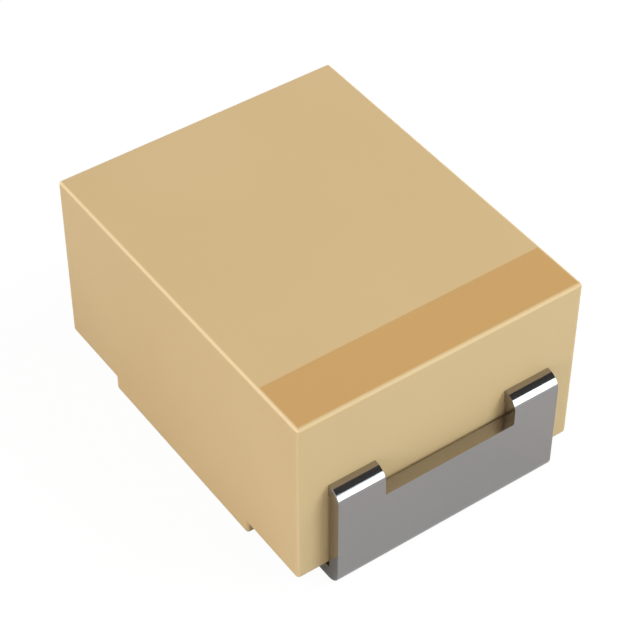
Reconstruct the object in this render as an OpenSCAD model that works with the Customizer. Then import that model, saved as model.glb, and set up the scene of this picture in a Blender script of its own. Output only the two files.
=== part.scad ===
// Moulded chip tantalum capacitor with folded, windowed leads.
// Millimetres. The origin is on the board, under the middle of the part. +X is the anode end, +Z is up.

/* [Case] */
// Length of the moulded case, without the leads
case_l = 3.38; // [3.3:0.01:3.7]
// Width of the moulded case
case_w = 2.7; // [2.6:0.01:3]
// Height of the case's top above the board
case_top = 1.835; // [1.75:0.005:2.1]
// Radius of the case's outer edges
case_edge_r = 0.03; // [0.01:0.01:0.05]

/* [Glue pedestal] */
// Gap between the tip of each soldering pad and the pedestal, which is as wide as the case
pedestal_gap = 0.045; // [0.02:0.005:0.2]
// Clearance between the pedestal and the board
pedestal_clearance = 0.01; // [0:0.01:0.08]
// Radius in the corner between the pedestal and the case's underside
pedestal_root_r = 0.03; // [0.01:0.01:0.04]

/* [Polarity bar] */
// Width of the bar, from its inner edge to the rounded edge of the case's top
bar_w = 0.49; // [0.3:0.01:0.8]
// Depth of the bar's mark in the case's top
bar_depth = 0.015; // [0.005:0.005:0.05]

/* [Leads outside the case] */
// Thickness of the lead strip
strip_t = 0.12; // [0.1:0.01:0.15]
// Width of the lead strip
strip_w = 2.14; // [2.1:0.01:2.3]
// Height above the board of the strip's upper face, where it leaves the case
exit_top = 1.07; // [1:0.01:1.2]
// Gap between the folded strip and the case
wrap_gap = 0.025; // [0.01:0.005:0.04]
// Inside radius of the two folds outside the case
bend_r = 0.01; // [0.005:0.005:0.05]
// Length of the soldering pad, from its tip to the outer face of the lead
pad_l = 0.8; // [0.6:0.01:0.8]
// Width of the window between the lead's two ears
window_w = 1.26; // [0.8:0.01:1.4]
// Height of the window's sill above the board
window_sill = 0.805; // [0.5:0.005:0.9]

/* [Leads inside the case] */
// Depth that the window reaches into the case, where the moulding locks it
window_depth = 0.22; // [0.1:0.01:0.24]
// Width of the bar that joins the two ears inside the case
crossbar_w = 0.14; // [0.1:0.01:0.2]
// Inside radius of the folds in the case
fold_r = 0.05; // [0.03:0.01:0.06]
// Slope of the anode lead's step down to its weld tab, in degrees
tab_slope = 45; // [40:1:70]
// Length of the weld tab
tab_l = 0.22; // [0.15:0.01:0.25]
// Width of the weld tab
tab_w = 0.7; // [0.4:0.01:1.1]
// Distance that the shelf stops short of the pellet's front
shelf_setback = 0.43; // [0.3:0.01:0.8]
// Width of the shelf under the pellet
shelf_w = 1.5; // [1:0.01:1.8]
// Thickness of moulding under the shelf
shelf_cover = 0.19; // [0.12:0.01:0.25]

/* [Anode pellet] */
// Width of the pellet
pellet_w = 1.85; // [1.5:0.01:2]
// Height of the pellet
pellet_h = 0.9; // [0.7:0.01:0.95]
// Radius of the pellet's edges
pellet_edge_r = 0.06; // [0.03:0.01:0.1]
// Space between the cathode lead's riser and the coated pellet
riser_gap = 0.05; // [0.03:0.01:0.08]
// Space between the anode lead's weld tab and the washer on the pellet's front
tab_gap = 0.18; // [0.1:0.01:0.4]
// Diameter of the riser wire
wire_d = 0.24; // [0.18:0.01:0.28]
// Thickness of tantalum behind the wire's inner end
wire_cover = 0.6; // [0.3:0.05:1.1]
// Depth of the flat that the weld presses on the wire
weld_flat = 0.02; // [0.01:0.005:0.04]
// Distance from the wire's end to the foot of the anode lead's step
wire_end_gap = 0.02; // [0:0.01:0.05]

/* [Coats and bonds] */
// Thickness of the manganese dioxide, on all six sides
dioxide_t = 0.03; // [0.02:0.005:0.05]
// Thickness of the carbon coat, on all sides but the wire's
carbon_t = 0.02; // [0.01:0.005:0.03]
// Thickness of the silver coat, on all sides but the wire's
silver_t = 0.03; // [0.01:0.005:0.04]
// Distance that each coat stops short of the one below it, at the wire's side
coat_setback = 0.08; // [0.05:0.01:0.15]
// Thickness of the silver adhesive on the shelf
adhesive_t = 0.03; // [0.02:0.005:0.05]
// Margin that the adhesive leaves along the shelf's edges
adhesive_margin = 0.1; // [0.05:0.01:0.2]
// Outer diameter of the insulating washer
washer_d = 0.6; // [0.45:0.01:0.8]
// Thickness of the insulating washer
washer_t = 0.08; // [0.05:0.01:0.1]

/* [Hidden] */
$fn = 64;

epoxy_colour = [0.82, 0.7, 0.51];
bar_colour = [0.77, 0.62, 0.38];
plate_colour = [0.58, 0.57, 0.56];
tantalum_colour = [0.4, 0.42, 0.46];
dioxide_colour = [0.16, 0.15, 0.15];
carbon_colour = [0.08, 0.08, 0.09];
silver_colour = [0.8, 0.8, 0.79];
adhesive_colour = [0.68, 0.67, 0.65];
washer_colour = [0.95, 0.95, 0.93];

case_end = case_l / 2;
underside = strip_t + wrap_gap;                 // of the case beside its pedestal, just above the pads
lead_face = case_end + wrap_gap + strip_t;      // outer face of a lead's leg
pad_start = lead_face - pad_l;                  // tip of the soldering pad
pad_flat = pad_l - bend_r - strip_t;            // flat of the pad, up to its fold
leg_l = exit_top - 2 * (strip_t + bend_r);
lock_l = window_depth + crossbar_w;             // strip inside the case, up to its first fold
neck_l = lock_l + wrap_gap - bend_r;            // the same from the upper fold outside the case
pedestal_l = 2 * (pad_start - pedestal_gap);

// The pellet's coats are stacked outwards, and the whole lies on the shelf in its adhesive.
// The weld tab carries the wire, so its height follows the pellet's.
coats_t = dioxide_t + carbon_t + silver_t;
shelf_top = underside + shelf_cover + strip_t;
pellet_z = shelf_top + adhesive_t + coats_t + pellet_h / 2;
tab_top = pellet_z - wire_d / 2 + weld_flat;

// The pellet fills the length that the two leads leave between them.
riser_face = -case_end + lock_l + fold_r + strip_t;
pellet_back = riser_face + riser_gap + coats_t;
tab_foot = case_end - lock_l - step_run(exit_top - tab_top, tab_slope);
dioxide_front = tab_foot - tab_l - tab_gap - washer_t;
pellet_front = dioxide_front - dioxide_t;
carbon_front = dioxide_front - coat_setback;
silver_front = carbon_front - coat_setback;
wire_start = pellet_back + wire_cover;
wire_end = tab_foot - wire_end_gap;
shelf_start = riser_face + fold_r;
shelf_l = pellet_front - shelf_setback - shelf_start;

// Straight length between the two folds of a step that lowers the strip by drop at a slope
function step_straight(drop, slope) = (drop - (2 * fold_r + strip_t) * (1 - cos(slope))) / sin(slope);
// Length along the strip's first direction that such a step takes up
function step_run(drop, slope) = (2 * fold_r + strip_t) * sin(slope) + step_straight(drop, slope) * cos(slope);

// A rectangle centred on the origin with round corners
module rounded_rectangle(a, b, r) {
    square([a - 2 * r, b], center = true);
    square([a, b - 2 * r], center = true);
    for (x = [-1, 1], y = [-1, 1])
        translate([x * (a / 2 - r), y * (b / 2 - r)]) circle(r);
}

// A block centred on the origin with all its edges rounded
module rounded_block(l, w, h, r) {
    intersection() {
        linear_extrude(h, center = true) rounded_rectangle(l, w, r);
        rotate([90, 0, 0]) linear_extrude(w, center = true) rounded_rectangle(l, h, r);
        rotate([90, 0, 90]) linear_extrude(l, center = true) rounded_rectangle(w, h, r);
    }
}

// The quarter turn, or less, of a strip about a fold line along Y. A positive turn folds it upwards.
module fold(turn, inside_r, w) {
    rotate([90, 0, 0])
        rotate(turn > 0 ? -90 : 90 + turn)
            rotate_extrude(angle = abs(turn))
                translate([inside_r, -w / 2]) square([strip_t, w]);
}

// A strip that starts flat along +X and is folded leg by leg.
// Each leg is [length, width, turn at its end, inside radius of that turn].
module folded_strip(legs, i = 0) {
    leg = legs[i];
    translate([0, -leg[1] / 2, 0]) cube([leg[0], leg[1], strip_t]);
    if (i < len(legs) - 1) {
        axis_z = leg[2] > 0 ? strip_t + leg[3] : -leg[3];
        translate([leg[0], 0, axis_z]) {
            fold(leg[2], leg[3], min(leg[1], legs[i + 1][1]));
            rotate([0, -leg[2], 0]) translate([0, 0, -axis_z]) folded_strip(legs, i + 1);
        }
    }
}

// A lead at the +X end: pad, leg and ears outside the case, then the legs given for inside it
module lead(inner_legs) {
    difference() {
        translate([pad_start, 0, 0])
            folded_strip(concat([
                [pad_flat, strip_w, 90, bend_r],
                [leg_l, strip_w, 90, bend_r]
            ], inner_legs));
        translate([case_end - window_depth, -window_w / 2, window_sill])
            cube([lead_face, window_w, exit_top]);
    }
}

module anode_lead() {
    color(plate_colour)
        lead([
            [neck_l, strip_w, tab_slope, fold_r],
            [step_straight(exit_top - tab_top, tab_slope), tab_w, -tab_slope, fold_r],
            [tab_l, tab_w]
        ]);
}

module cathode_lead() {
    color(plate_colour)
        mirror([1, 0, 0])
            lead([
                [neck_l, strip_w, 90, fold_r],
                [step_straight(exit_top - shelf_top, 90), shelf_w, -90, fold_r],
                [shelf_l, shelf_w]
            ]);
}

// The pellet grown by a coat on every side, cut off square at front
module coated_pellet(coat, front) {
    intersection() {
        translate([(pellet_back + pellet_front) / 2, 0, pellet_z])
            rounded_block(
                pellet_front - pellet_back + 2 * coat, pellet_w + 2 * coat, pellet_h + 2 * coat,
                pellet_edge_r + coat
            );
        translate([pellet_back - coat, -case_w / 2, 0])
            cube([front - pellet_back + coat, case_w, case_top]);
    }
}

module wire_rod(from, to) {
    translate([from, 0, pellet_z]) rotate([0, 90, 0]) cylinder(d = wire_d, h = to - from);
}

module tantalum_pellet() {
    color(tantalum_colour)
        difference() {
            coated_pellet(0, pellet_front);
            wire_rod(wire_start, wire_end);
        }
}

module tantalum_wire() {
    color(tantalum_colour)
        difference() {
            wire_rod(wire_start, wire_end);
            translate([tab_foot - tab_l, -tab_w / 2, tab_top - strip_t]) cube([tab_l, tab_w, strip_t]);
        }
}

module manganese_dioxide() {
    color(dioxide_colour)
        difference() {
            coated_pellet(dioxide_t, dioxide_front);
            coated_pellet(0, pellet_front);
            wire_rod(wire_start, wire_end);
        }
}

module carbon_layer() {
    color(carbon_colour)
        difference() {
            coated_pellet(dioxide_t + carbon_t, carbon_front);
            coated_pellet(dioxide_t, dioxide_front);
        }
}

module silver_layer() {
    color(silver_colour)
        difference() {
            coated_pellet(coats_t, silver_front);
            coated_pellet(dioxide_t + carbon_t, carbon_front);
        }
}

module silver_adhesive() {
    color(adhesive_colour)
        translate([shelf_start + adhesive_margin, adhesive_margin - shelf_w / 2, shelf_top])
            cube([shelf_l - 2 * adhesive_margin, shelf_w - 2 * adhesive_margin, adhesive_t]);
}

module insulating_washer() {
    color(washer_colour)
        translate([dioxide_front, 0, pellet_z])
            rotate([0, 90, 0])
                difference() {
                    cylinder(d = washer_d, h = washer_t);
                    cylinder(d = wire_d, h = washer_t);
                }
}

module polarity_bar() {
    color(bar_colour)
        translate([case_end - case_edge_r - bar_w, case_edge_r - case_w / 2, case_top - bar_depth])
            cube([bar_w, case_w - 2 * case_edge_r, bar_depth]);
}

// The outside of the moulding: the block, and the pedestal that reaches down to the board between the pads
module case_form() {
    block_h = case_top - underside;
    pedestal_h = underside - pedestal_clearance;
    translate([0, 0, underside + block_h / 2]) rounded_block(case_l, case_w, block_h, case_edge_r);
    translate([0, 0, pedestal_clearance + pedestal_h])
        rounded_block(pedestal_l, case_w, 2 * pedestal_h, case_edge_r);
    for (side = [0, 1])
        mirror([side, 0, 0])
            translate([pedestal_l / 2, 0, underside]) pedestal_cove();
}

module pedestal_cove() {
    rotate([90, 0, 0])
        linear_extrude(case_w - 2 * case_edge_r, center = true)
            difference() {
                translate([0, -pedestal_root_r]) square(pedestal_root_r);
                translate([pedestal_root_r, -pedestal_root_r]) circle(pedestal_root_r);
            }
}

module case() {
    color(epoxy_colour)
        difference() {
            case_form();
            polarity_bar();
            anode_lead();
            cathode_lead();
            coated_pellet(dioxide_t, dioxide_front);
            coated_pellet(dioxide_t + carbon_t, carbon_front);
            coated_pellet(coats_t, silver_front);
            silver_adhesive();
            insulating_washer();
            tantalum_wire();
        }
}

case();
polarity_bar();
anode_lead();
cathode_lead();
tantalum_pellet();
tantalum_wire();
manganese_dioxide();
carbon_layer();
silver_layer();
silver_adhesive();
insulating_washer();
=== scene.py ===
# A moulded tantalum chip capacitor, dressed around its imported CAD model.
# The dictionaries hold millimetres and degrees; meshes are in metres, in the CAD frame.
import math

import bmesh
import bpy
from mathutils import Matrix, Vector


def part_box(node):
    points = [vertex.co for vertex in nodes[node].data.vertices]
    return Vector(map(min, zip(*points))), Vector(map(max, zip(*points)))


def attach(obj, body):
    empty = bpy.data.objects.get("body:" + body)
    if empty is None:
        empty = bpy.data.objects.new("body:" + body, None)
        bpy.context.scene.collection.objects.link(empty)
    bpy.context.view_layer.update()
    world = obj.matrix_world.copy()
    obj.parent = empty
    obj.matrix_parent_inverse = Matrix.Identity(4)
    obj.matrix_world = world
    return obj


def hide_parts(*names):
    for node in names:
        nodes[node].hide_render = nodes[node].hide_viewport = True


mm = 0.001
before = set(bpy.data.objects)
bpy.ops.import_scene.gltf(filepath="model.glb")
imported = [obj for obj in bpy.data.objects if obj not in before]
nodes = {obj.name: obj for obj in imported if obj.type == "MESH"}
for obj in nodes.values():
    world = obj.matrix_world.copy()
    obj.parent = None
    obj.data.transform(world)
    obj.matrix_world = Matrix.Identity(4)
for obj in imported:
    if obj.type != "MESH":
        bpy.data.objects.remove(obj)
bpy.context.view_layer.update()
scene = bpy.context.scene
scene.view_settings.view_transform = "Standard"
print("frame loaded, nodes:", len(nodes))

caseLow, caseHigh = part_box("case")
anodeLow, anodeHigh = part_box("anode_lead")
wireLow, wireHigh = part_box("tantalum_wire")
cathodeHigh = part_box("cathode_lead")[1]
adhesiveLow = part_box("silver_adhesive")[0]
smoothAngle = math.radians(40)  # edges sharper than this stay crisp


# Small helpers

def towards(azimuth, elevation):
    # Unit vector at an azimuth from +X towards +Y
    a, e = math.radians(azimuth), math.radians(elevation)
    return Vector((math.cos(a) * math.cos(e), math.sin(a) * math.cos(e), math.sin(e)))


def addObject(name, data):
    piece = bpy.data.objects.new(name, data)
    scene.collection.objects.link(piece)
    return piece


def meshFrom(name, points, edges=(), faces=()):
    mesh = bpy.data.meshes.new(name)
    mesh.from_pydata([tuple(p) for p in points], list(edges), list(faces))
    mesh.update()
    return mesh


def appliedMesh(piece, name):
    # The evaluated object as a plain mesh, with its modifiers then taken off
    depsgraph = bpy.context.evaluated_depsgraph_get()
    mesh = bpy.data.meshes.new_from_object(piece.evaluated_get(depsgraph))
    mesh.name = name
    piece.modifiers.clear()
    piece.data = mesh
    return mesh


def triangles(piece):
    return sum(len(face.vertices) - 2 for face in piece.data.polygons)


class Tree:
    # A node tree with short calls for adding and linking nodes
    def __init__(self, tree):
        self.tree = tree

    def add(self, kind, **values):
        node = self.tree.nodes.new(kind)
        for key, value in values.items():
            setattr(node, key, value)
        return node

    def join(self, source, target):
        self.tree.links.new(source, target)

    def math(self, operation, *terms):
        node = self.add("ShaderNodeMath", operation=operation)
        for i, term in enumerate(terms):
            if isinstance(term, (int, float)):
                node.inputs[i].default_value = term
            else:
                self.join(term, node.inputs[i])
        return node.outputs[0]


def emptyTree(owner):
    # The node tree of a material or world, with nothing in it yet
    owner.use_nodes = True
    owner.node_tree.nodes.clear()
    return Tree(owner.node_tree)


# Camera

camera = {
    "distance": 17.611,  # from the middle of the case's block
    "azimuth": -35.407,
    "elevation": 44.146,
    "axisAzimuth": -35.63,  # the way the lens faces, seen from the case
    "axisElevation": 44.481,
    "roll": 0.288,
    "lens": 121.05,
    "sensor": 36,
    "blockUnderside": 0.145,  # height of the block's underside, beside its pedestal
}


def addCamera(c):
    centre = Vector((0, 0, (caseHigh.z + c["blockUnderside"] * mm) / 2))
    back = towards(c["axisAzimuth"], c["axisElevation"])
    level = (-back).cross(Vector((0, 0, 1))).normalized()
    roll = math.radians(c["roll"])
    right = level * math.cos(roll) + back.cross(level) * math.sin(roll)
    up = back.cross(right)
    data = bpy.data.cameras.new("viewCamera")
    data.lens = c["lens"]
    data.sensor_width = c["sensor"]
    data.clip_start, data.clip_end = mm, 1000 * mm
    piece = addObject("viewCamera", data)
    turn = Matrix((right, up, back)).transposed().to_4x4()
    place = centre + towards(c["azimuth"], c["elevation"]) * c["distance"] * mm
    piece.matrix_world = Matrix.Translation(place) @ turn
    scene.camera = piece


addCamera(camera)
print("camera placed")


# Shader groups that several finishes share

def newGroup(name, inputs, outputs):
    tree = bpy.data.node_groups.new(name, "ShaderNodeTree")
    for label, kind, value in inputs:
        socket = tree.interface.new_socket(label, in_out="INPUT", socket_type=kind)
        socket.default_value = value
    for label, kind in outputs:
        tree.interface.new_socket(label, in_out="OUTPUT", socket_type=kind)
    t = Tree(tree)
    return t, t.add("NodeGroupInput").outputs, t.add("NodeGroupOutput").inputs


def grainGroup():
    # Fine grain: a tone that wanders about the given colour, and a height for a bump
    t, given, result = newGroup(
        "fineGrain",
        [
            ("Vector", "NodeSocketVector", (0, 0, 0)),
            ("Colour", "NodeSocketColor", (0.5, 0.5, 0.5, 1)),
            ("Spread", "NodeSocketFloat", 0.05),
            ("Scale", "NodeSocketFloat", 40),
            ("Detail", "NodeSocketFloat", 3),
        ],
        [("Colour", "NodeSocketColor"), ("Height", "NodeSocketFloat")],
    )
    noise = t.add("ShaderNodeTexNoise")
    noise.inputs["Roughness"].default_value = 0.55
    t.join(given["Vector"], noise.inputs["Vector"])
    t.join(given["Scale"], noise.inputs["Scale"])
    t.join(given["Detail"], noise.inputs["Detail"])
    centred = t.math("SUBTRACT", noise.outputs["Fac"], 0.5)
    swing = t.math("MULTIPLY", t.math("MULTIPLY", centred, 2), given["Spread"])
    value = t.math("ADD", swing, 1)
    tint = t.add("ShaderNodeVectorMath", operation="SCALE")
    t.join(given["Colour"], tint.inputs[0])
    t.join(value, tint.inputs["Scale"])
    t.join(tint.outputs[0], result["Colour"])
    t.join(noise.outputs["Fac"], result["Height"])
    return t.tree


def cloudGroup():
    # Broad soft patches, for tone and for roughness
    t, given, result = newGroup(
        "softPatches",
        [
            ("Vector", "NodeSocketVector", (0, 0, 0)),
            ("Colour", "NodeSocketColor", (0.5, 0.5, 0.5, 1)),
            ("Patch Colour", "NodeSocketColor", (0.5, 0.5, 0.5, 1)),
            ("Scale", "NodeSocketFloat", 1.5),
            ("Low", "NodeSocketFloat", 0.4),
            ("High", "NodeSocketFloat", 0.5),
        ],
        [("Colour", "NodeSocketColor"), ("Roughness", "NodeSocketFloat")],
    )
    noise = t.add("ShaderNodeTexNoise")
    noise.inputs["Detail"].default_value = 2
    t.join(given["Vector"], noise.inputs["Vector"])
    t.join(given["Scale"], noise.inputs["Scale"])
    # The noise keeps to the middle of its range, so that is spread over the whole
    spread = t.add("ShaderNodeMapRange", interpolation_type="SMOOTHSTEP")
    spread.inputs["From Min"].default_value = 0.35
    spread.inputs["From Max"].default_value = 0.65
    t.join(noise.outputs["Fac"], spread.inputs["Value"])
    mix = t.add("ShaderNodeMix", data_type="RGBA")
    t.join(spread.outputs[0], mix.inputs[0])
    t.join(given["Colour"], mix.inputs[6])
    t.join(given["Patch Colour"], mix.inputs[7])
    t.join(mix.outputs[2], result["Colour"])
    rough = t.add("ShaderNodeMapRange")
    t.join(spread.outputs[0], rough.inputs["Value"])
    t.join(given["Low"], rough.inputs["To Min"])
    t.join(given["High"], rough.inputs["To Max"])
    t.join(rough.outputs[0], result["Roughness"])
    return t.tree


def edgeHighlightGroup():
    # Painted highlight: a paler tone on the rounding of the top and upright edges, in full on the
    # top's two long ones
    t, given, result = newGroup(
        "paintedEdgeHighlights",
        [
            ("Vector", "NodeSocketVector", (0, 0, 0)),
            ("Colour", "NodeSocketColor", (0.5, 0.5, 0.5, 1)),
            ("Highlight Colour", "NodeSocketColor", (0.5, 0.5, 0.5, 1)),
            ("Half Width", "NodeSocketFloat", 1),
            ("Half Length", "NodeSocketFloat", 1),
            ("Top", "NodeSocketFloat", 1),
            ("Reach", "NodeSocketFloat", 0.03),
            ("End Share", "NodeSocketFloat", 0.5),
            ("Upright Share", "NodeSocketFloat", 0.5),
        ],
        [("Colour", "NodeSocketColor")],
    )
    parts = t.add("ShaderNodeSeparateXYZ")
    t.join(given["Vector"], parts.inputs[0])
    below = t.math("SUBTRACT", given["Top"], parts.outputs["Z"])

    def inFrom(axis, half):
        return t.math("SUBTRACT", given[half], t.math("ABSOLUTE", parts.outputs[axis]))

    def edgeMask(one, other):
        soften = t.add("ShaderNodeMapRange", interpolation_type="SMOOTHSTEP")
        soften.inputs["From Min"].default_value = 1
        soften.inputs["From Max"].default_value = 0.4
        away = t.math("DIVIDE", t.math("MAXIMUM", one, other), given["Reach"])
        t.join(away, soften.inputs["Value"])
        return soften.outputs[0]

    inFromSide, inFromEnd = inFrom("Y", "Half Width"), inFrom("X", "Half Length")
    sides = edgeMask(inFromSide, below)
    ends = t.math("MULTIPLY", edgeMask(inFromEnd, below), given["End Share"])
    uprights = t.math("MULTIPLY", edgeMask(inFromEnd, inFromSide), given["Upright Share"])
    mix = t.add("ShaderNodeMix", data_type="RGBA")
    t.join(t.math("MAXIMUM", sides, t.math("MAXIMUM", ends, uprights)), mix.inputs[0])
    t.join(given["Colour"], mix.inputs[6])
    t.join(given["Highlight Colour"], mix.inputs[7])
    t.join(mix.outputs[2], result["Colour"])
    return t.tree


fineGrain = grainGroup()
softPatches = cloudGroup()
paintedEdgeHighlights = edgeHighlightGroup()


def addFinish(name, look):
    # A Principled finish: soft patches, then grain, a painted highlight on the edges where it has
    # one, and a bump
    material = bpy.data.materials.new(name)
    material.use_nodes = True
    t = Tree(material.node_tree)
    shader = t.tree.nodes["Principled BSDF"]
    where = t.add("ShaderNodeTexCoord")
    place = t.add("ShaderNodeMapping")
    place.inputs["Scale"].default_value = [s / mm for s in look.get("stretch", (1, 1, 1))]
    t.join(where.outputs["Object"], place.inputs["Vector"])
    patches = t.add("ShaderNodeGroup", node_tree=softPatches)
    patches.inputs["Colour"].default_value = (*look["colour"], 1)
    patches.inputs["Patch Colour"].default_value = (*look["patchColour"], 1)
    patches.inputs["Scale"].default_value = look["patchScale"]
    patches.inputs["Low"].default_value, patches.inputs["High"].default_value = look["roughness"]
    t.join(place.outputs[0], patches.inputs["Vector"])
    grain = t.add("ShaderNodeGroup", node_tree=fineGrain)
    grain.inputs["Spread"].default_value = look["grainSpread"]
    grain.inputs["Scale"].default_value = look["grainScale"]
    t.join(place.outputs[0], grain.inputs["Vector"])
    t.join(patches.outputs["Colour"], grain.inputs["Colour"])
    tone = grain.outputs["Colour"]
    if "edgeHighlightColour" in look:
        # painted highlight: a paler tone on the rounding of the case's edges
        highlightNode = t.add("ShaderNodeGroup", node_tree=paintedEdgeHighlights)
        highlightNode.inputs["Highlight Colour"].default_value = (*look["edgeHighlightColour"], 1)
        highlightNode.inputs["Half Width"].default_value = caseHigh.y / mm
        highlightNode.inputs["Half Length"].default_value = caseHigh.x / mm
        highlightNode.inputs["Top"].default_value = caseHigh.z / mm
        highlightNode.inputs["Reach"].default_value = look["edgeHighlightReach"]
        highlightNode.inputs["End Share"].default_value = look["edgeHighlightEnds"]
        highlightNode.inputs["Upright Share"].default_value = look["edgeHighlightUprights"]
        t.join(place.outputs[0], highlightNode.inputs["Vector"])
        t.join(tone, highlightNode.inputs["Colour"])
        tone = highlightNode.outputs["Colour"]
    bump = t.add("ShaderNodeBump")
    bump.inputs["Strength"].default_value = look["bump"]
    bump.inputs["Distance"].default_value = look.get("bumpDepth", 0.001) * mm
    t.join(grain.outputs["Height"], bump.inputs["Height"])
    t.join(tone, shader.inputs["Base Color"])
    t.join(patches.outputs["Roughness"], shader.inputs["Roughness"])
    t.join(bump.outputs[0], shader.inputs["Normal"])
    shader.inputs["Metallic"].default_value = look.get("metallic", 0)
    shader.inputs["Specular IOR Level"].default_value = look.get("gloss", 0.5)
    return material


finishes = {
    "mouldedEpoxy": {
        "colour": (0.60, 0.425, 0.212),
        "patchColour": (0.608, 0.435, 0.22),
        # the paler colour below is a painted highlight on the rounding of the case's edges
        "edgeHighlightColour": (0.87, 0.65, 0.38),
        "edgeHighlightReach": 0.028,
        "edgeHighlightEnds": 0.24,  # share of the painted highlight on the top's two short edges
        "edgeHighlightUprights": 0.2,  # share of the painted highlight on the four upright edges
        "patchScale": 0.7,
        "roughness": (0.44, 0.48),
        "gloss": 0.35,
        "grainSpread": 0.012,
        "grainScale": 45,
        "bump": 0.10,
    },
    "polarityMark": {
        "colour": (0.548, 0.322, 0.115),
        "patchColour": (0.556, 0.33, 0.12),
        "patchScale": 0.7,
        "roughness": (0.46, 0.5),
        "gloss": 0.35,
        "grainSpread": 0.02,
        "grainScale": 60,
        "bump": 0.12,
    },
    "tinPlate": {
        "colour": (0.4, 0.379, 0.37),
        "patchColour": (0.406, 0.385, 0.376),
        "patchScale": 1.2,
        "roughness": (0.12, 0.15),
        "grainSpread": 0.015,
        "grainScale": 30,
        "stretch": (0.25, 1, 0.25),
        "bump": 0.05,
        "metallic": 1,
    },
    "sinteredTantalum": {
        "colour": (0.12, 0.13, 0.155),
        "patchColour": (0.15, 0.155, 0.17),
        "patchScale": 6,
        "roughness": (0.6, 0.8),
        "grainSpread": 0.5,
        "grainScale": 90,
        "bump": 1,
        "bumpDepth": 0.006,
        "metallic": 0.7,
    },
    "drawnTantalum": {
        "colour": (0.32, 0.33, 0.36),
        "patchColour": (0.29, 0.3, 0.34),
        "patchScale": 4,
        "roughness": (0.28, 0.4),
        "grainSpread": 0.1,
        "grainScale": 60,
        "stretch": (0.05, 1, 1),
        "bump": 0.4,
        "metallic": 1,
    },
    "manganeseDioxide": {
        "colour": (0.02, 0.018, 0.018),
        "patchColour": (0.03, 0.026, 0.024),
        "patchScale": 8,
        "roughness": (0.5, 0.75),
        "grainSpread": 0.6,
        "grainScale": 110,
        "bump": 1,
        "bumpDepth": 0.004,
    },
    "carbonCoat": {
        "colour": (0.009, 0.009, 0.01),
        "patchColour": (0.013, 0.013, 0.014),
        "patchScale": 3,
        "roughness": (0.6, 0.7),
        "grainSpread": 0.3,
        "grainScale": 80,
        "bump": 0.5,
        "bumpDepth": 0.002,
    },
    "silverCoat": {
        "colour": (0.6, 0.6, 0.58),
        "patchColour": (0.55, 0.55, 0.52),
        "patchScale": 5,
        "roughness": (0.4, 0.55),
        "grainSpread": 0.15,
        "grainScale": 70,
        "bump": 0.5,
        "bumpDepth": 0.002,
        "metallic": 0.8,
    },
    "silverAdhesive": {
        "colour": (0.42, 0.41, 0.38),
        "patchColour": (0.36, 0.35, 0.32),
        "patchScale": 6,
        "roughness": (0.45, 0.6),
        "grainSpread": 0.25,
        "grainScale": 60,
        "bump": 0.7,
        "bumpDepth": 0.003,
        "metallic": 0.6,
    },
    "whiteWasher": {
        "colour": (0.85, 0.85, 0.82),
        "patchColour": (0.8, 0.8, 0.77),
        "patchScale": 4,
        "roughness": (0.35, 0.45),
        "grainSpread": 0.03,
        "grainScale": 50,
        "bump": 0.2,
    },
}
made = {name: addFinish(name, look) for name, look in finishes.items()}
print("finishes made:", len(made))


def finishPiece(piece, node, finish):
    # One material, even shading across the flats, and the calls that tie the piece to the CAD model
    piece.data.materials.clear()
    piece.data.materials.append(made[finish])
    for face in piece.data.polygons:
        face.material_index = 0
    piece.data.transform(Matrix.Scale(1 / mm, 4))  # in metres, the faces are too small to weigh
    even = piece.modifiers.new("evenShading", "WEIGHTED_NORMAL")
    even.weight = 100
    even.thresh = 0
    even.keep_sharp = True
    appliedMesh(piece, piece.name)
    piece.data.transform(Matrix.Scale(mm, 4))
    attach(piece, "root")
    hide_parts(node)


# Leads: one strip each, folded about lines along Y and windowed where it leaves the case

strip = {
    "thickness": 0.12,
    "bendRadius": 0.01,  # inside radius of the two folds outside the case
    "innerFoldRadius": 0.05,  # inside radius of the folds in the case
    "edgeRadius": 0.006,  # of the strip's long edges
    "padLength": 0.8,
    "windowWidth": 1.26,
    "sillHeight": 0.805,
    "windowDepth": 0.22,  # into the case
    "crossbarWidth": 0.14,
    "tabWidth": 0.7,
    "tabSlope": 45,
    "shelfWidth": 1.5,
    "taper": 0.004,  # length over which the width changes in the case
    "foldSegments": 24,
    "weldFlat": 0.02,  # depth of the flat that the weld presses on the wire
}


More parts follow.
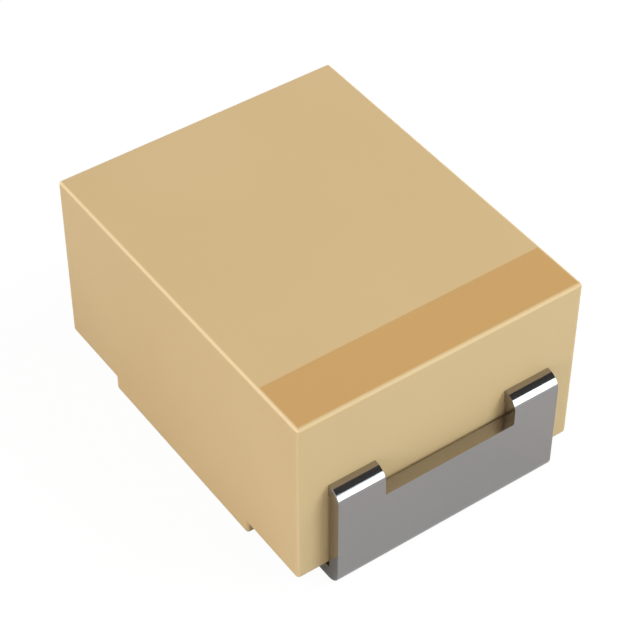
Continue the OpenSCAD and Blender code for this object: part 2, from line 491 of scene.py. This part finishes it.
def stripTree():
    tree = bpy.data.node_groups.new("foldedStrip", "GeometryNodeTree")
    t = Tree(tree)
    sockets = [
        ("Geometry", "NodeSocketGeometry"),
        ("Thickness", "NodeSocketFloat"),
        ("Edge Radius", "NodeSocketFloat"),
        ("Fold Segments", "NodeSocketInt"),
        ("Window Size", "NodeSocketVector"),
        ("Window Centre", "NodeSocketVector"),
        ("Plate", "NodeSocketMaterial"),
    ]
    for label, kind in sockets:
        tree.interface.new_socket(label, in_out="INPUT", socket_type=kind)
    tree.interface.new_socket("Geometry", in_out="OUTPUT", socket_type="NodeSocketGeometry")
    given = t.add("NodeGroupInput").outputs
    result = t.add("NodeGroupOutput").inputs

    def attribute(name):
        node = t.add("GeometryNodeInputNamedAttribute", data_type="FLOAT")
        node.inputs["Name"].default_value = name
        return node.outputs["Attribute"]

    # The middle line gets its folds
    line = t.add("GeometryNodeMeshToCurve")
    folds = t.add("GeometryNodeFilletCurve", mode="POLY")
    t.join(given["Geometry"], line.inputs["Mesh"])
    t.join(line.outputs[0], folds.inputs["Curve"])
    t.join(given["Fold Segments"], folds.inputs["Count"])
    t.join(attribute("foldRadius"), folds.inputs["Radius"])

    # A square section with broken edges is swept along it, then drawn out to the strip's width
    section = t.add("GeometryNodeCurvePrimitiveQuadrilateral", mode="RECTANGLE")
    t.join(given["Thickness"], section.inputs["Width"])
    t.join(given["Thickness"], section.inputs["Height"])
    edges = t.add("GeometryNodeFilletCurve", mode="POLY")
    edges.inputs["Count"].default_value = 3
    t.join(section.outputs[0], edges.inputs["Curve"])
    t.join(given["Edge Radius"], edges.inputs["Radius"])
    sweep = t.add("GeometryNodeCurveToMesh")
    sweep.inputs["Fill Caps"].default_value = True
    t.join(folds.outputs[0], sweep.inputs["Curve"])
    t.join(edges.outputs[0], sweep.inputs["Profile Curve"])
    across = t.add("ShaderNodeSeparateXYZ")
    t.join(t.add("GeometryNodeInputPosition").outputs[0], across.inputs[0])
    widen = t.math("MULTIPLY", t.math("SUBTRACT", attribute("stripWidth"), given["Thickness"]), 0.5)
    shift = t.add("ShaderNodeCombineXYZ")
    t.join(t.math("MULTIPLY", t.math("SIGN", across.outputs["Y"]), widen), shift.inputs["Y"])
    drawn = t.add("GeometryNodeSetPosition")
    t.join(sweep.outputs[0], drawn.inputs["Geometry"])
    t.join(shift.outputs[0], drawn.inputs["Offset"])

    # The window is punched through the leg and the upper fold
    punch = t.add("GeometryNodeMeshCube")
    t.join(given["Window Size"], punch.inputs["Size"])
    placed = t.add("GeometryNodeTransform")
    t.join(punch.outputs[0], placed.inputs["Geometry"])
    t.join(given["Window Centre"], placed.inputs["Translation"])
    punched = t.add("GeometryNodeMeshBoolean", operation="DIFFERENCE")
    t.join(drawn.outputs[0], punched.inputs["Mesh 1"])
    t.join(placed.outputs[0], punched.inputs["Mesh 2"])

    # Folds are shaded smooth and the sheared corners stay crisp
    angle = t.add("GeometryNodeInputMeshEdgeAngle")
    soft = t.math("LESS_THAN", angle.outputs[0], smoothAngle)
    smooth = t.add("GeometryNodeSetShadeSmooth", domain="EDGE")
    t.join(punched.outputs[0], smooth.inputs["Geometry"])
    t.join(soft, smooth.inputs["Shade Smooth"])
    real = t.add("GeometryNodeRealizeInstances")
    t.join(smooth.outputs[0], real.inputs[0])
    plate = t.add("GeometryNodeSetMaterial")
    t.join(real.outputs[0], plate.inputs["Geometry"])
    t.join(given["Plate"], plate.inputs["Material"])
    t.join(plate.outputs[0], result[0])
    return tree


def foldedLine(start, legs):
    # Corners of a strip's middle line. Each leg is [length, width, turn, middle radius of the
    # turn]; a turn upwards is positive. The next width comes in a short taper before the turn.
    place, heading = Vector(start), 0.0
    corners = [(place.copy(), legs[0][1], 0.0)]
    for i, (length, width, turn, radius) in enumerate(legs):
        along = Vector((math.cos(heading), 0, math.sin(heading)))
        nextWidth = legs[min(i + 1, len(legs) - 1)][1]
        if nextWidth != width:
            corners.append((place + along * (length - strip["taper"] * mm), width, 0.0))
            corners.append((place + along * length, nextWidth, 0.0))
        reach = radius * math.tan(abs(turn) / 2)
        place = place + along * (length + reach)
        if turn:
            corners.append((place.copy(), nextWidth, radius))
            heading += turn
            place = place + Vector((math.cos(heading), 0, math.sin(heading))) * reach
    corners.append((place, width, 0.0))
    return corners


def addLead(name, node, start, legs, window, tree):
    # Folded at the +X end, then turned round to its own end if it is the other one
    corners = foldedLine(start, legs)
    points = [place for place, _, _ in corners]
    mesh = meshFrom(name, points, edges=[(i, i + 1) for i in range(len(points) - 1)])
    for label, column in (("stripWidth", 1), ("foldRadius", 2)):
        values = mesh.attributes.new(label, "FLOAT", "POINT")
        for i, corner in enumerate(corners):
            values.data[i].value = corner[column]
    piece = addObject(name, mesh)
    modifier = piece.modifiers.new("foldedStrip", "NODES")
    modifier.node_group = tree
    size, centre = window
    values = {
        "Thickness": strip["thickness"] * mm,
        "Edge Radius": strip["edgeRadius"] * mm,
        "Fold Segments": strip["foldSegments"],
        "Window Size": size,
        "Window Centre": centre,
        "Plate": made["tinPlate"],
    }
    for item in tree.interface.items_tree:
        if item.in_out == "INPUT" and item.name in values:
            modifier[item.identifier] = values[item.name]
    appliedMesh(piece, name)
    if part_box(node)[0].x < 0:
        piece.data.transform(Matrix.Rotation(math.pi, 4, "Z"))
    finishPiece(piece, node, "tinPlate")
    return piece


def addLeads():
    tree = stripTree()
    s = {k: v * mm for k, v in strip.items() if k not in ("tabSlope", "foldSegments")}
    t, outerFold = s["thickness"], s["bendRadius"] + s["thickness"] / 2
    innerFold = s["innerFoldRadius"] + t / 2
    face, caseEnd, exitTop = anodeHigh.x, caseHigh.x, anodeHigh.z
    stripWidth = anodeHigh.y - anodeLow.y
    lock = s["windowDepth"] + s["crossbarWidth"]
    padFlat = s["padLength"] - s["bendRadius"] - t
    leg = exitTop - 2 * (t + s["bendRadius"])
    neck = face - t - s["bendRadius"] - caseEnd + lock
    quarter = math.radians(90)
    start = (face - s["padLength"], 0, t / 2)
    outer = [[padFlat, stripWidth, quarter, outerFold], [leg, stripWidth, quarter, outerFold]]

    def stepLeg(drop, slope):
        # Straight stretch between the two folds of a step
        return (drop - 2 * innerFold * (1 - math.cos(slope))) / math.sin(slope)

    slope = math.radians(strip["tabSlope"])
    tabTop = wireLow.z + s["weldFlat"]
    step = stepLeg(exitTop - tabTop, slope)
    tab = caseEnd - lock - 2 * innerFold * math.sin(slope) - step * math.cos(slope) - anodeLow.x
    anodeLegs = [
        [neck, stripWidth, slope, innerFold],
        [step, s["tabWidth"], -slope, innerFold],
        [tab, s["tabWidth"], 0, 0],
    ]
    shelf = cathodeHigh.x - (-caseEnd + lock + 2 * innerFold)
    cathodeLegs = [
        [neck, stripWidth, quarter, innerFold],
        [stepLeg(exitTop - adhesiveLow.z, quarter), s["shelfWidth"], -quarter, innerFold],
        [shelf, s["shelfWidth"], 0, 0],
    ]
    windowBack = caseEnd - s["windowDepth"]
    windowLength = face - windowBack + t
    windowHeight = exitTop - s["sillHeight"] + t
    window = (
        (windowLength, s["windowWidth"], windowHeight),
        (windowBack + windowLength / 2, 0, s["sillHeight"] + windowHeight / 2),
    )
    return [
        addLead("anodeLead", "anode_lead", start, outer + anodeLegs, window, tree),
        addLead("cathodeLead", "cathode_lead", start, outer + cathodeLegs, window, tree),
    ]


leads = addLeads()
print("leads folded, triangles:", [triangles(lead) for lead in leads])


# Case: the block with its glue pedestal, as one moulding, hollow where the inner pieces lie

moulding = {
    "underside": 0.145,
    "pedestalHalf": 0.99,
    "edgeRadius": 0.03,
    "edgeSegments": 6,
    "mergeDistance": 1e-5,
    "wireFit": 1.0005,  # a hair fatter, so that the wire's flat and the weld tab overlap
}


def mergedCopy(node):
    # A closed mesh from a CAD node's loose triangles
    bm = bmesh.new()
    bm.from_mesh(nodes[node].data)
    bmesh.ops.remove_doubles(bm, verts=bm.verts, dist=moulding["mergeDistance"] * mm)
    bmesh.ops.recalc_face_normals(bm, faces=bm.faces)
    mesh = bpy.data.meshes.new(node + "Space")
    bm.to_mesh(mesh)
    bm.free()
    return mesh


def addCase(m):
    low, high = caseLow, caseHigh
    under, half = m["underside"] * mm, m["pedestalHalf"] * mm
    outline = [
        (low.x, high.z), (low.x, under), (-half, under), (-half, low.z),
        (half, low.z), (half, under), (high.x, under), (high.x, high.z),
    ]
    bm = bmesh.new()
    first = [bm.verts.new((x, low.y, z)) for x, z in outline]
    second = [bm.verts.new((x, high.y, z)) for x, z in outline]
    count = len(outline)
    bm.faces.new(first)
    bm.faces.new(list(reversed(second)))
    for i in range(count):
        j = (i + 1) % count
        bm.faces.new((first[j], first[i], second[i], second[j]))
    bmesh.ops.recalc_face_normals(bm, faces=bm.faces)
    bmesh.ops.bevel(
        bm, geom=bm.edges[:], offset=m["edgeRadius"] * mm, offset_type="OFFSET",
        segments=m["edgeSegments"], profile=0.5, affect="EDGES", clamp_overlap=True,
    )
    mesh = bpy.data.meshes.new("mouldedCase")
    bm.to_mesh(mesh)
    bm.free()
    piece = addObject("mouldedCase", mesh)
    spaces = bpy.data.collections.new("spaces")
    scene.collection.children.link(spaces)
    fillers = []
    for node in nodes:
        if node in ("case", "anode_lead", "cathode_lead"):
            continue
        filler = bpy.data.objects.new(node + "Space", mergedCopy(node))
        if node == "tantalum_wire":
            middle = Matrix.Translation((wireLow + wireHigh) / 2)
            fatter = Matrix.Diagonal((1, m["wireFit"], m["wireFit"], 1))
            filler.data.transform(middle @ fatter @ middle.inverted())
        spaces.objects.link(filler)
        fillers.append(filler)
    for lead in leads:
        filler = bpy.data.objects.new(lead.name + "Space", lead.data.copy())
        spaces.objects.link(filler)
        fillers.append(filler)
    cut = piece.modifiers.new("innerPieces", "BOOLEAN")
    cut.operation = "DIFFERENCE"
    cut.operand_type = "COLLECTION"
    cut.collection = spaces
    cut.solver = "EXACT"
    cut.use_self = True
    appliedMesh(piece, "mouldedCase")
    for filler in fillers:
        bpy.data.objects.remove(filler)
    bpy.data.collections.remove(spaces)
    if "custom_normal" in piece.data.attributes:  # left over from the pieces cut away
        piece.data.attributes.remove(piece.data.attributes["custom_normal"])
    piece.data.shade_smooth()
    piece.data.set_sharp_from_angle(angle=smoothAngle)
    finishPiece(piece, "case", "mouldedEpoxy")
    return piece


caseShell = addCase(moulding)
print("case moulded, triangles:", triangles(caseShell))


# Finishes of the pieces whose CAD shape is shown as it is

nodeFinishes = {
    "polarity_bar": "polarityMark",
    "tantalum_pellet": "sinteredTantalum",
    "tantalum_wire": "drawnTantalum",
    "manganese_dioxide": "manganeseDioxide",
    "carbon_layer": "carbonCoat",
    "silver_layer": "silverCoat",
    "silver_adhesive": "silverAdhesive",
    "insulating_washer": "whiteWasher",
    "case": "mouldedEpoxy",
    "anode_lead": "tinPlate",
    "cathode_lead": "tinPlate",
}
for node, finish in nodeFinishes.items():
    slots = nodes[node].material_slots
    if not slots:
        nodes[node].data.materials.append(made[finish])
    for slot in slots:
        slot.material = made[finish]
print("finishes given")


# Floor, world and lights

floor = {
    "half": 400,
    "colour": (0.66, 0.66, 0.66),
    "white": 1.03,
    "whiteForCamera": 0.93,  # share of white that the camera sees, and the rest is as lit
    "whiteForMirrors": 0,  # share of white that metal sees
}
world = {"level": 0.5}
lamps = {
    # azimuth and elevation seen from the part, distance, width and height, radiance, colour;
    # matt and mirrored say which kind of surface receives it
    "keyLamp": {
        "azimuth": 55, "elevation": 50, "distance": 45, "size": (26, 26), "level": 6.2,
        "colour": (1, 1, 1), "matt": True, "mirrored": False,
    },
    "fillLamp": {
        "azimuth": -82, "elevation": 12, "distance": 45, "size": (30, 18), "level": 5.85,
        "colour": (1, 1, 1), "matt": True, "mirrored": False,
    },
    "bandLamp": {
        "azimuth": 28, "elevation": 19.3, "distance": 34, "size": (15, 18.5), "level": 4.1,
        "colour": (0.84, 1.06, 1.17), "matt": True, "mirrored": True,
    },
    "backLamp": {
        "azimuth": -175, "elevation": 8, "distance": 45, "size": (30, 18), "level": 4.5,
        "colour": (1, 1, 1), "matt": True, "mirrored": False,
    },
}
flag = {
    # a dark board that the bright folds of the leads mirror
    "azimuth": (10, 130),
    "elevation": (35.5, 72),
    "distance": 30,
    "level": 0.07,
    "steps": 12,
}


def rayMask(t, cameraShare, mirrorShare):
    # Share for camera rays, and for reflected and transmitted ones
    path = t.add("ShaderNodeLightPath").outputs
    mirrors = t.math("ADD", path["Is Glossy Ray"], path["Is Transmission Ray"])
    seen = t.math("MULTIPLY", path["Is Camera Ray"], cameraShare)
    return t.math("ADD", seen, t.math("MULTIPLY", mirrors, mirrorShare))


def addFloor(f):
    half = f["half"] * mm
    corners = [(-half, -half, 0), (half, -half, 0), (half, half, 0), (-half, half, 0)]
    piece = addObject("floorSheet", meshFrom("floorSheet", corners, faces=[(0, 1, 2, 3)]))
    material = bpy.data.materials.new("paleFloor")
    t = emptyTree(material)
    matt = t.add("ShaderNodeBsdfDiffuse")
    matt.inputs["Color"].default_value = (*f["colour"], 1)
    white = t.add("ShaderNodeEmission")
    white.inputs["Strength"].default_value = f["white"]
    mix = t.add("ShaderNodeMixShader")
    t.join(rayMask(t, f["whiteForCamera"], f["whiteForMirrors"]), mix.inputs[0])
    t.join(matt.outputs[0], mix.inputs[1])
    t.join(white.outputs[0], mix.inputs[2])
    t.join(mix.outputs[0], t.add("ShaderNodeOutputMaterial").inputs["Surface"])
    piece.data.materials.append(material)


def addWorld(w):
    scene.world = bpy.data.worlds.new("paleWorld")
    t = emptyTree(scene.world)
    room = t.add("ShaderNodeBackground")
    room.inputs["Strength"].default_value = w["level"]
    white = t.add("ShaderNodeBackground")
    mix = t.add("ShaderNodeMixShader")
    room.inputs["Color"].default_value = white.inputs["Color"].default_value = (1, 1, 1, 1)
    t.join(rayMask(t, 1, 1), mix.inputs[0])
    t.join(room.outputs[0], mix.inputs[1])
    t.join(white.outputs[0], mix.inputs[2])
    t.join(mix.outputs[0], t.add("ShaderNodeOutputWorld").inputs["Surface"])


def addLamp(name, c):
    data = bpy.data.lights.new(name, "AREA")
    data.shape = "RECTANGLE"
    data.size, data.size_y = c["size"][0] * mm, c["size"][1] * mm
    data.energy = math.pi * data.size * data.size_y * c["level"]
    data.color = c["colour"]
    piece = addObject(name, data)
    away = towards(c["azimuth"], c["elevation"])
    piece.matrix_world = (
        Matrix.Translation(away * c["distance"] * mm)
        @ away.to_track_quat("Z", "Y").to_matrix().to_4x4()
    )
    piece.visible_camera = False
    piece.visible_diffuse, piece.visible_glossy = c["matt"], c["mirrored"]


def addFlag(c):
    # A curved card that faces the part
    steps = c["steps"]
    (a0, a1), (e0, e1) = c["azimuth"], c["elevation"]
    points = [
        towards(a0 + (a1 - a0) * i / steps, e0 + (e1 - e0) * j / steps) * c["distance"] * mm
        for j in range(steps + 1) for i in range(steps + 1)
    ]
    row = steps + 1
    faces = [
        (j * row + i, (j + 1) * row + i, (j + 1) * row + i + 1, j * row + i + 1)
        for j in range(steps) for i in range(steps)
    ]
    piece = addObject("darkFlag", meshFrom("darkFlag", points, faces=faces))
    material = bpy.data.materials.new("darkFlag")
    t = emptyTree(material)
    glow = t.add("ShaderNodeEmission")
    glow.inputs["Strength"].default_value = c["level"]
    t.join(glow.outputs[0], t.add("ShaderNodeOutputMaterial").inputs["Surface"])
    piece.data.materials.append(material)
    piece.visible_camera = False
    piece.visible_shadow = False


addFloor(floor)
addWorld(world)
for name, lamp in lamps.items():
    addLamp(name, lamp)
addFlag(flag)
print("floor and lights placed")
